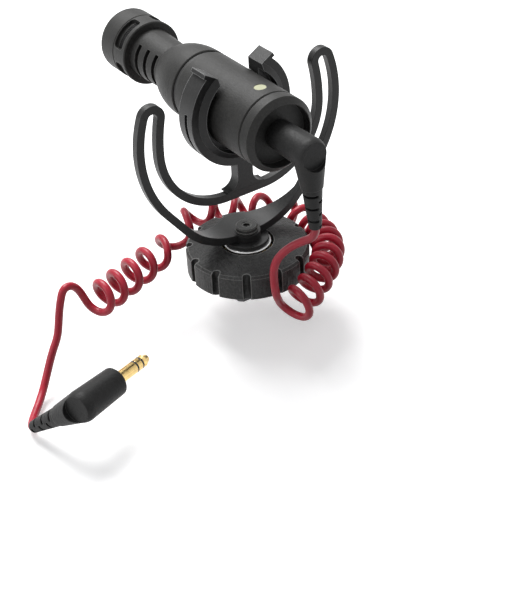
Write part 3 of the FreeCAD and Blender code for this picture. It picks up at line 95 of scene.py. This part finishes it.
# Materials. Their lengths are in metres, and a noise's scale is in waves per metre
class Finish:
    """A procedural material: a Principled shader with helpers for its colour, shine and bump."""

    def __init__(self, name, color, roughness, metallic=0.0, specular=0.5):
        self.material = bpy.data.materials.new(name)
        self.material.use_nodes = True
        self.tree = self.material.node_tree
        self.nodes = self.tree.nodes
        self.shader = self.nodes["Principled BSDF"]
        self.shader.inputs["Base Color"].default_value = (*color, 1.0)
        self.shader.inputs["Roughness"].default_value = roughness
        self.shader.inputs["Metallic"].default_value = metallic
        self.shader.inputs["Specular IOR Level"].default_value = specular
        self.where = self.nodes.new("ShaderNodeTexCoord").outputs["Object"]
        self.normal = None

    def link(self, a, b):
        self.tree.links.new(a, b)

    def noise(self, scale, detail=3.0, rough=0.6, stretch=None):
        source = self.where
        if stretch is not None:
            mapping = self.nodes.new("ShaderNodeMapping")
            mapping.inputs["Scale"].default_value = stretch
            self.link(source, mapping.inputs["Vector"])
            source = mapping.outputs["Vector"]
        node = self.nodes.new("ShaderNodeTexNoise")
        node.inputs["Scale"].default_value = scale
        node.inputs["Detail"].default_value = detail
        node.inputs["Roughness"].default_value = rough
        self.link(source, node.inputs["Vector"])
        return node.outputs["Fac"]

    def math(self, operation, first, second=None):
        """One operation on one or two values, each a number or a socket."""
        node = self.nodes.new("ShaderNodeMath")
        node.operation = operation
        for side, value in ((node.inputs[0], first), (node.inputs[1], second)):
            if isinstance(value, (int, float)):
                side.default_value = value
            elif value is not None:
                self.link(value, side)
        return node.outputs["Value"]

    def ramp(self, source, low, high, start=0.3, end=0.7):
        """A colour that goes from low to high while the source goes from start to end."""
        node = self.nodes.new("ShaderNodeValToRGB")
        node.color_ramp.elements[0].position = start
        node.color_ramp.elements[1].position = end
        node.color_ramp.elements[0].color = (*low, 1.0)
        node.color_ramp.elements[1].color = (*high, 1.0)
        self.link(source, node.inputs["Fac"])
        return node.outputs["Color"]

    def span(self, source, low, high, start=0.3, end=0.7):
        """A number that goes from low to high while the source goes from start to end."""
        node = self.nodes.new("ShaderNodeMapRange")
        node.inputs["From Min"].default_value = start
        node.inputs["From Max"].default_value = end
        node.inputs["To Min"].default_value = low
        node.inputs["To Max"].default_value = high
        self.link(source, node.inputs["Value"])
        return node.outputs["Result"]

    def mix(self, share, low, high):
        """Blend of two colours, each a colour or a socket, by a share from 0 to 1."""
        node = self.nodes.new("ShaderNodeMix")
        node.data_type = "RGBA"
        self.link(share, node.inputs[0])
        for side, value in ((node.inputs[6], low), (node.inputs[7], high)):
            if isinstance(value, tuple):
                side.default_value = (*value, 1.0)
            else:
                self.link(value, side)
        return node.outputs[2]

    def bevel_normal(self, radius, samples):
        node = self.nodes.new("ShaderNodeBevel")
        node.samples = samples
        node.inputs["Radius"].default_value = radius
        return node.outputs["Normal"]

    def edge_mask(self, radius):
        """0 on a flat or gently curved face, 1 along its edges."""
        surface = self.nodes.new("ShaderNodeNewGeometry")
        dot = self.nodes.new("ShaderNodeVectorMath")
        dot.operation = "DOT_PRODUCT"
        self.link(self.bevel_normal(radius, 8), dot.inputs[0])
        self.link(surface.outputs["Normal"], dot.inputs[1])
        return self.span(dot.outputs["Value"], 1.0, 0.0, start=0.88, end=0.99)

    def within(self, share, start, end):
        """The share, faded out between two distances from the microphone's axis."""
        flat = self.nodes.new("ShaderNodeVectorMath")
        flat.operation = "MULTIPLY"
        flat.inputs[1].default_value = (1.0, 0.0, 1.0)
        self.link(self.where, flat.inputs[0])
        away = self.nodes.new("ShaderNodeVectorMath")
        away.operation = "DISTANCE"
        away.inputs[1].default_value = (0.0, 0.0, TUBE_AXIS_Z)
        self.link(flat.outputs["Vector"], away.inputs[0])
        return self.math("MULTIPLY", share, self.span(away.outputs["Value"], 1.0, 0.0, start, end))

    def paint(self, color):
        self.link(color, self.shader.inputs["Base Color"])

    def tint(self, source, low, high, start=0.3, end=0.7):
        self.paint(self.ramp(source, low, high, start, end))

    def shine(self, source, low, high):
        self.link(self.span(source, low, high), self.shader.inputs["Roughness"])

    def bump(self, source, strength, distance):
        node = self.nodes.new("ShaderNodeBump")
        node.inputs["Strength"].default_value = strength
        node.inputs["Distance"].default_value = distance
        self.link(source, node.inputs["Height"])
        if self.normal is not None:
            self.link(self.normal, node.inputs["Normal"])
        self.normal = node.outputs["Normal"]
        self.link(self.normal, self.shader.inputs["Normal"])

    def soft_edges(self, radius):
        """Edges catch the light as the real piece's small radii do."""
        self.normal = self.bevel_normal(radius, 6)
        self.link(self.normal, self.shader.inputs["Normal"])


def shade(color, factor):
    return tuple(min(1.0, c * factor) for c in color)


def moulded(name, color, rough, grain, depth, edges, edge_highlight, patches=220, specular=0.25, speck=0.25,
            band=0.0004, highlight_fade=None):
    """Moulded or painted surface: mottled colour, fine dusty grain, and a painted highlight along
    the edges.

    One factor sets how much lighter the painted edge highlight is, band how wide it is, and a pair
    of distances from the microphone's axis, where given, sets where the painted highlight fades
    out."""
    dust = shade(color, 3.2)
    f = Finish(name, color, rough, specular=specular)
    f.soft_edges(edges)
    fine = f.noise(grain, 2.0, 0.7)
    mottled = f.ramp(f.noise(patches, 4.0), shade(color, 0.8), shade(color, 1.25))
    dusty = f.mix(f.span(fine, 0.0, speck, 0.45, 0.75), mottled, dust)
    # Painted highlight: a band along the edges, painted lighter to stand for the light they catch
    edge_highlight_share = f.edge_mask(band)
    if highlight_fade is not None:
        edge_highlight_share = f.within(edge_highlight_share, *highlight_fade)
    f.paint(f.mix(edge_highlight_share, dusty, shade(color, edge_highlight)))
    f.shine(fine, rough * 0.88, min(1.0, rough * 1.14))
    f.bump(fine, depth, 0.00012)
    return f


def tube_paint():
    return moulded(
        "tube_paint", (0.02, 0.0198, 0.019), rough=0.52, grain=1700, depth=0.6, edges=0.00018,
        edge_highlight=4.0, speck=0.3,
    ).material


def lyre_plastic():
    """The painted edge highlight is kept on the clip round the microphone, and faded out before
    the arms.
    """
    return moulded(
        "lyre_plastic", (0.0165, 0.0165, 0.0165), rough=0.38, grain=1400, depth=0.3, edges=0.0002,
        edge_highlight=15.0, patches=160, band=0.00035, highlight_fade=(0.0205, 0.0235),
    ).material


def wheel_plastic():
    """The wheel's plastic, with a coarse structure in two directions over its grain."""
    f = moulded(
        "wheel_plastic", (0.027, 0.027, 0.0265), rough=0.46, grain=1100, depth=0.9, edges=0.00028,
        edge_highlight=11.0, patches=240, speck=0.7, band=0.0006,
    )
    structure = [f.noise(300, 3.0, 0.7, stretch) for stretch in ((1.0, 4.0, 1.0), (4.0, 1.0, 1.0))]
    for source in structure:
        f.bump(source, 0.7, 0.0004)
    return f.material


def plug_rubber():
    return moulded(
        "plug_rubber", (0.0095, 0.0095, 0.0095), rough=0.52, grain=1500, depth=0.7, edges=0.0003,
        edge_highlight=4.0, patches=300, specular=0.22, speck=0.4,
    ).material


def cord_red():
    red = (0.44, 0.01, 0.032)
    f = Finish("cord_red", red, 0.36, specular=0.45)
    f.tint(f.noise(180), shade(red, 0.82), shade(red, 1.12))
    f.shine(f.noise(700, 2.0), 0.32, 0.44)
    f.bump(f.noise(1100, 2.0), 0.06, 0.00005)
    return f.material


def plain(name, color, rough, metallic=0.0, depth=0.15, edges=0.0):
    """Lightly mottled surface with a fine grain."""
    f = Finish(name, color, rough, metallic)
    if edges:
        f.soft_edges(edges)
    grain = f.noise(1500)
    f.tint(f.noise(250), shade(color, 0.88), shade(color, 1.12))
    f.shine(grain, rough * 0.85, min(1.0, rough * 1.15))
    f.bump(grain, depth, 0.00005)
    return f.material


def blackened():
    """Blackened steel: dull speckled faces, with a painted highlight along the edges."""
    dark = (0.022, 0.022, 0.021)
    edge_highlight_color = (0.26, 0.26, 0.25)
    f = Finish("dark_steel", dark, 0.5, 0.35)
    f.soft_edges(0.00016)
    fine = f.noise(5200, 2.0, 0.8)
    speckled = f.ramp(fine, shade(dark, 0.4), shade(dark, 2.6), 0.4, 0.68)
    # Painted highlight: the edges are painted bright grey to stand for the light they catch
    f.paint(f.mix(f.edge_mask(0.0003), speckled, edge_highlight_color))
    f.shine(fine, 0.42, 0.58)
    f.bump(fine, 0.4, 0.00004)
    return f.material


def turned(name, color, rough, along="y"):
    """Turned metal: fine rings round its axis."""
    f = Finish(name, color, rough, 1.0)
    f.soft_edges(0.00015)
    stretch = (1.0, 1.0, 40.0) if along == "z" else (1.0, 40.0, 1.0)
    lines = f.noise(900, 2.0, stretch=stretch)
    f.tint(f.noise(500), shade(color, 0.9), shade(color, 1.08))
    f.shine(lines, rough * 0.7, rough * 1.4)
    f.bump(lines, 0.05, 0.00001)
    return f.material


def woven():
    """Fine wire mesh on a cylinder about the microphone's axis: wires along it and round it."""
    grey = (0.011, 0.011, 0.0113)
    wires_round = 94
    pitch = 0.00055
    f = Finish("mesh_weave", grey, 0.55, 0.5, specular=0.1)
    split = f.nodes.new("ShaderNodeSeparateXYZ")
    f.link(f.where, split.inputs["Vector"])
    across = f.nodes.new("ShaderNodeCombineXYZ")
    f.link(split.outputs["X"], across.inputs["X"])
    f.link(f.math("SUBTRACT", split.outputs["Z"], TUBE_AXIS_Z), across.inputs["Y"])
    turn = f.nodes.new("ShaderNodeTexGradient")
    turn.gradient_type = "RADIAL"
    f.link(across.outputs["Vector"], turn.inputs["Vector"])
    angle = f.math("MULTIPLY", turn.outputs["Fac"], 2 * math.pi * wires_round)
    place = f.math("MULTIPLY", split.outputs["Y"], 2 * math.pi / pitch)
    wires = f.math("MAXIMUM", f.math("SINE", angle), f.math("SINE", place))
    f.tint(wires, shade(grey, 0.15), shade(grey, 1.9), 0.1, 0.8)
    f.bump(wires, 0.7, 0.0001)
    return f.material


MATERIALS = {
    "tube_grey": tube_paint(),
    "lyre_plastic": lyre_plastic(),
    "wheel_black": wheel_plastic(),
    "cord_red": cord_red(),
    "plug_black": plug_rubber(),
    "matte_black": plain("matte_black", (0.008, 0.008, 0.0082), 0.5, edges=0.0002),
    "bright_metal": turned("bright_metal", (0.6, 0.6, 0.6), 0.32, "z"),
    "foot_metal": plain("foot_metal", (0.09, 0.09, 0.095), 0.35, 0.8, edges=0.0003),
    "brass": turned("brass", (0.72, 0.52, 0.22), 0.3, "z"),
    "gold": turned("gold", (0.83, 0.6, 0.25), 0.22),
    "dark_steel": blackened(),
    "plug_insulator": plain("plug_insulator", (0.02, 0.02, 0.02), 0.4),
    "mesh_dark": woven(),
    "foam_dark": plain("foam_dark", (0.02, 0.02, 0.02), 0.9, depth=0.8),
    "ring_rubber": plain("ring_rubber", (0.012, 0.012, 0.012), 0.6),
    "dot_pale": plain("dot_pale", (0.45, 0.46, 0.29), 0.4),
    "board_green": plain("board_green", (0.02, 0.12, 0.05), 0.35),
    "capacitor_black": plain("capacitor_black", (0.02, 0.02, 0.025), 0.3),
}

WIRE = plain("mesh_wire", (0.035, 0.035, 0.035), 0.42, 0.7)

slot_of = {row["node"]: row["material_slot"] for row in frame["record"]["subparts"]}
for name, item in frame["nodes"].items():
    item.data.materials.clear()
    item.data.materials.append(MATERIALS[slot_of[name]])


# The outer arms: copies of their meshes stand in for them, and the CAD arms are hidden
def bending_arm(node):
    mesh = frame["nodes"][node].data.copy()
    arm = bpy.data.objects.new(node + "_bending", mesh)
    scene.collection.objects.link(arm)
    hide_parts(node)
    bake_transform(arm)


bending_arm("lyre_arm_left")
bending_arm("lyre_arm_right")


# Cord, in millimetres: the source's route points, with the first three of the far lead moved
# for a softer bend
NEAR_ROUTE = [(-0.3, -25.9, 26.0), (-2.9, -23.0, 23.0), (-5.1, -21.5, 19.5), (-5.8, -21.2, 15.5)]
CURL_ROUTE = [
    (-3.0, -25.3, 4.0), (2.3, -24.5, 6.0), (7.2, -22.8, 7.8), (11.5, -20.7, 9.2),
    (15.4, -17.9, 10.0), (19.0, -13.9, 10.0), (21.5, -9.3, 9.4), (23.0, -4.3, 9.0),
    (23.5, 0.9, 9.0), (22.9, 6.0, 9.5), (21.2, 10.6, 10.4), (18.9, 14.2, 10.6),
    (16.3, 17.2, 10.0), (13.3, 19.7, 9.2), (10.2, 21.5, 9.0), (7.0, 22.9, 9.6),
    (3.4, 24.0, 10.8), (-1.0, 24.2, 11.2), (-5.4, 23.5, 10.6), (-10.3, 21.7, 8.8),
    (-15.4, 18.8, 8.3), (-21.0, 15.7, 9.2), (-27.8, 12.7, 9.5), (-34.0, 10.3, 9.6),
    (-40.0, 8.1, 9.5), (-45.2, 6.5, 9.4), (-47.6, 5.8, 9.4),
]
# Turns made, and how loose the curls are, at each of those points
CURL_TURNS = [
    0, 1.1, 2.2, 3.3, 4.5, 5.8, 7.0, 8.1, 9.1, 9.95, 10.75, 11.3, 11.75, 12.25, 12.75, 13.25,
    13.75, 14.25, 14.75, 15.15, 15.55, 15.98, 17, 18, 19, 20, 20.5,
]
CURL_LOOSE = [
    -2.2, -0.6, 0, 0, 0, 0, 0, 0, 0.2, 0.5, 0.8, 1, 1, 1, 1, 1,
    1, 1, 1, 1, 0.8, 0.2, -0.7, -0.8, -0.8, -0.8, -0.8,
]
FAR_ROUTE = [
    (-54.3, 10.4, 14.9), (-56.6, 9.3, 10.6), (-58.0, 8.6, 6.0), (-59.4, 7.6, 2.0),
    (-62.4, 6.6, -2.0), (-65.4, 5.0, -6.5), (-69.4, 2.0, -11.0),
]
CURL_START_SIDE = (-0.82, 0.57, 0.04)
CORD_DIAMETER = 2.3
CURL_RADIUS = 3.7
LOOSE_RADIUS = 3.3
STUB = CORD_DIAMETER * 1.4  # straight length at each end of a lead
FAR_PLUG_STUB = 0.8  # share of it at the far plug
CORD_STEP = 0.35  # between two rings of the cord's mesh
PLUG_ELBOW = 13.5  # from an angle plug's face to its cable's axis
PLUG_TAIL = 22.7  # from its pin's axis to the end of its relief


def plug_exit(face, pin, cable):
    """Where the cord leaves an angle plug and the way it points there, in millimetres."""
    pin = Vector(pin).normalized()
    way = Vector(cable)
    way = (way - pin * way.dot(pin)).normalized()
    return Vector(face) - pin * PLUG_ELBOW + way * PLUG_TAIL, way


def spline_points(points, name):
    """Points along the smooth NURBS line that has these control points."""
    curve = bpy.data.curves.new(name, "CURVE")
    curve.dimensions = "3D"
    curve.resolution_u = 48
    spline = curve.splines.new("NURBS")
    spline.points.add(len(points) - 1)
    for target, point in zip(spline.points, points):
        target.co = (*(Vector(point) * MM), 1.0)
    spline.order_u = 3
    spline.use_endpoint_u = True
    item = bpy.data.objects.new(name, curve)
    scene.collection.objects.link(item)
    bpy.context.view_layer.update()
    evaluated = item.evaluated_get(bpy.context.evaluated_depsgraph_get())
    mesh = bpy.data.meshes.new_from_object(evaluated)
    found = [v.co / MM for v in mesh.vertices]
    bpy.data.meshes.remove(mesh)
    bpy.data.objects.remove(item)
    bpy.data.curves.remove(curve)
    return found


def distances(points):
    """How far along the line through the points each of them is."""
    made = [0.0]
    for a, b in zip(points, points[1:]):
        made.append(made[-1] + (b - a).length)
    return made


def directions(points):
    """The line's direction at each point, from the points beside it."""
    last = len(points) - 1
    return [(points[min(k + 1, last)] - points[max(k - 1, 0)]).normalized()
            for k in range(len(points))]


def curl_samples():
    """Turns made, place, direction, side and radius of the curls along their route."""
    places = spline_points(CURL_ROUTE, "curl_route")
    along = distances(places)
    corners = distances([Vector(p) for p in CURL_ROUTE])
    knots = [c * along[-1] / corners[-1] for c in corners]
    side = Vector(CURL_START_SIDE)
    samples = []
    knot = 0
    for place, way, length in zip(places, directions(places), along):
        side = (side - way * side.dot(way)).normalized()
        while knot < len(knots) - 2 and length > knots[knot + 1]:
            knot += 1
        part = (length - knots[knot]) / (knots[knot + 1] - knots[knot])
        turns = CURL_TURNS[knot] + (CURL_TURNS[knot + 1] - CURL_TURNS[knot]) * part
        loose = CURL_LOOSE[knot] + (CURL_LOOSE[knot + 1] - CURL_LOOSE[knot]) * part
        radius = CURL_RADIUS + (LOOSE_RADIUS - CURL_RADIUS) * loose
        samples.append((turns, place, way, side.copy(), radius))
    return samples


def curls(per_turn=40):
    """The curls' own line, wound left-handed about the route's spline."""
    samples = curl_samples()
    made = []
    j = 0
    for k in range(int(round(CURL_TURNS[-1] * per_turn)) + 1):
        want = k / per_turn
        while j < len(samples) - 2 and samples[j + 1][0] < want:
            j += 1
        a, b = samples[j], samples[j + 1]
        part = (want - a[0]) / (b[0] - a[0])
        place = a[1].lerp(b[1], part)
        way = a[2].lerp(b[2], part).normalized()
        side = a[3].lerp(b[3], part).normalized()
        radius = a[4] + (b[4] - a[4]) * part
        over = side.cross(way)
        angle = 2 * math.pi * want
        made.append(place + (side * math.cos(angle) + over * math.sin(angle)) * radius)
    return made


def even_spacing(points, step):
    """The line through the points, with points about one step apart."""
    along = distances(points)
    count = int(along[-1] / step)
    made = []
    j = 0
    for k in range(count + 1):
        want = along[-1] * k / count
        while j < len(along) - 2 and along[j + 1] < want:
            j += 1
        part = (want - along[j]) / max(1e-9, along[j + 1] - along[j])
        made.append(points[j].lerp(points[j + 1], part))
    return made


def tube_parts(points, radius, sides, verts, faces):
    """Adds a round tube along a line, closed at both ends, to verts (in metres) and faces."""
    first = len(verts)
    ways = directions(points)
    across = ways[0].orthogonal().normalized()
    for point, way in zip(points, ways):
        across = (across - way * across.dot(way)).normalized()
        up = way.cross(across)
        for j in range(sides):
            angle = 2 * math.pi * j / sides
            reach = (across * math.cos(angle) + up * math.sin(angle)) * radius
            verts.append((point + reach) * MM)
    for k in range(len(points) - 1):
        here = first + k * sides
        for j in range(sides):
            n = (j + 1) % sides
            faces.append((here + j, here + n, here + sides + n, here + sides + j))
    faces.append(tuple(range(first + sides - 1, first - 1, -1)))
    last = first + (len(points) - 1) * sides
    faces.append(tuple(range(last, last + sides)))


def tube_mesh(name, lines, radius, sides=20):
    """One mesh of round tubes, one along each line of points in millimetres."""
    verts = []
    faces = []
    for line in lines:
        tube_parts(line, radius, sides, verts, faces)
    mesh = bpy.data.meshes.new(name)
    mesh.from_pydata(verts, [], faces)
    mesh.polygons.foreach_set("use_smooth", [len(face) == 4 for face in faces])
    mesh.update()
    item = bpy.data.objects.new(name, mesh)
    scene.collection.objects.link(item)
    return item


def make_cord():
    near_exit, near_way = plug_exit((0, -17.55, 55.5), (0, 1, 0), (0.0698, 0, -0.9976))
    far_exit, far_way = plug_exit((-56.6, -20.3, 2.9), (0.923, 0.375, -0.11), (-0.36, 0.7, -0.62))
    helix = curls()
    start_way = (helix[1] - helix[0]).normalized()
    end_way = (helix[-1] - helix[-2]).normalized()
    curl_start = helix[0] - start_way * CORD_DIAMETER
    curl_end = helix[-1] + end_way * CORD_DIAMETER
    near = [near_exit, near_exit + near_way * STUB] + [Vector(p) for p in NEAR_ROUTE]
    near += [curl_start - start_way * STUB, curl_start]
    far = [curl_end, curl_end + end_way * STUB] + [Vector(p) for p in FAR_ROUTE]
    far += [far_exit + far_way * STUB * FAR_PLUG_STUB, far_exit]
    line = spline_points(near, "near_route") + helix + spline_points(far, "far_route")
    line = even_spacing(line, CORD_STEP)
    cord = tube_mesh("cord", [line], CORD_DIAMETER / 2)
    cord.data.materials.append(MATERIALS["cord_red"])
    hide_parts("near_lead", "curly_cord", "far_lead")
    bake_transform(cord)


make_cord()


# Woven wire mesh behind the front opening
def make_front_weave():
    rim = 0.15
    pitch = 0.62
    wire = 0.115
    low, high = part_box("front_mesh")
    centre = (low + high) / (2 * MM)
    reach = (high.x - low.x) / (2 * MM) - rim
    lift = min(wire, (high.y - low.y) / (2 * MM) - wire)
    count = int(reach / pitch)
    lines = []
    for number in range(-count, count + 1):
        across = number * pitch
        half = math.sqrt(reach * reach - across * across)
        steps = max(4, int(half * 6 / pitch))
        for turned_over in (False, True):
            line = []
            for k in range(steps + 1):
                along = -half + 2 * half * k / steps
                wave = lift * math.cos(math.pi * (along / pitch + number))
                if turned_over:
                    line.append(centre + Vector((across, -wave, along)))
                else:
                    line.append(centre + Vector((along, wave, across)))
            lines.append(line)
    weave = tube_mesh("front_weave", lines, wire, 6)
    weave.data.materials.append(WIRE)
    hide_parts("front_mesh")
    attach(weave, "microphone")


make_front_weave()


# Stage: pale floor, soft light
def backdrop_rays(tree):
    """1 for the camera's rays and those that metal and glass send on, 0 for the object's light."""
    path = tree.nodes.new("ShaderNodeLightPath")
    total = path.outputs["Is Camera Ray"]
    for kind in ("Is Glossy Ray", "Is Transmission Ray"):
        add = tree.nodes.new("ShaderNodeMath")
        add.operation = "ADD"
        add.use_clamp = True
        tree.links.new(total, add.inputs[0])
        tree.links.new(path.outputs[kind], add.inputs[1])
        total = add.outputs["Value"]
    return total


def make_stage():
    pale = (0.94, 0.94, 0.94)
    dim = (0.22, 0.22, 0.22)
    half = 3.0
    low = cad_low.z - 0.0005
    corners = [(-half, -half, low), (half, -half, low), (half, half, low), (-half, half, low)]
    mesh = bpy.data.meshes.new("floor")
    mesh.from_pydata(corners, [], [(0, 1, 2, 3)])
    floor = bpy.data.objects.new("floor", mesh)
    scene.collection.objects.link(floor)
    f = Finish("floor_pale", pale, 0.8, specular=0.2)
    seen = backdrop_rays(f.tree)
    f.tint(seen, dim, pale, 0.0, 1.0)
    far = f.nodes.new("ShaderNodeVectorMath")
    far.operation = "LENGTH"
    f.link(f.where, far.inputs[0])
    glow = f.math("MULTIPLY", seen, f.span(far.outputs["Value"], 0.4, 0.85, 0.2, 0.9))
    f.shader.inputs["Emission Color"].default_value = (1, 1, 1, 1)
    f.link(glow, f.shader.inputs["Emission Strength"])
    mesh.materials.append(f.material)


def make_light(name, place, aim, size, power):
    data = bpy.data.lights.new(name, "AREA")
    data.shape = "RECTANGLE"
    data.size, data.size_y = size
    data.energy = power
    lamp = bpy.data.objects.new(name, data)
    lamp.location = place
    lamp.rotation_mode = "QUATERNION"
    lamp.rotation_quaternion = (Vector(aim) - Vector(place)).to_track_quat("-Z", "Y")
    scene.collection.objects.link(lamp)


def make_world():
    world = bpy.data.worlds.new("World")
    scene.world = world
    world.use_nodes = True
    tree = world.node_tree
    tree.nodes.clear()
    out = tree.nodes.new("ShaderNodeOutputWorld")
    mix = tree.nodes.new("ShaderNodeMixShader")
    tree.links.new(backdrop_rays(tree), mix.inputs["Fac"])
    soft = ((0.95, 0.97, 1.0, 1), 0.28)
    white = ((1, 1, 1, 1), 1.0)
    for side, (color, strength) in ((mix.inputs[1], soft), (mix.inputs[2], white)):
        background = tree.nodes.new("ShaderNodeBackground")
        background.inputs["Color"].default_value = color
        background.inputs["Strength"].default_value = strength
        tree.links.new(background.outputs["Background"], side)
    tree.links.new(mix.outputs["Shader"], out.inputs["Surface"])


make_stage()
make_world()
OBJECT_MIDDLE = (0, 0, 0.04)
make_light("top_light", (0.05, 0.4, 0.7), OBJECT_MIDDLE, (0.48, 0.44), 7.8)
make_light("left_light", (-0.7, 0.15, 0.4), OBJECT_MIDDLE, (0.4, 0.5), 1.6)
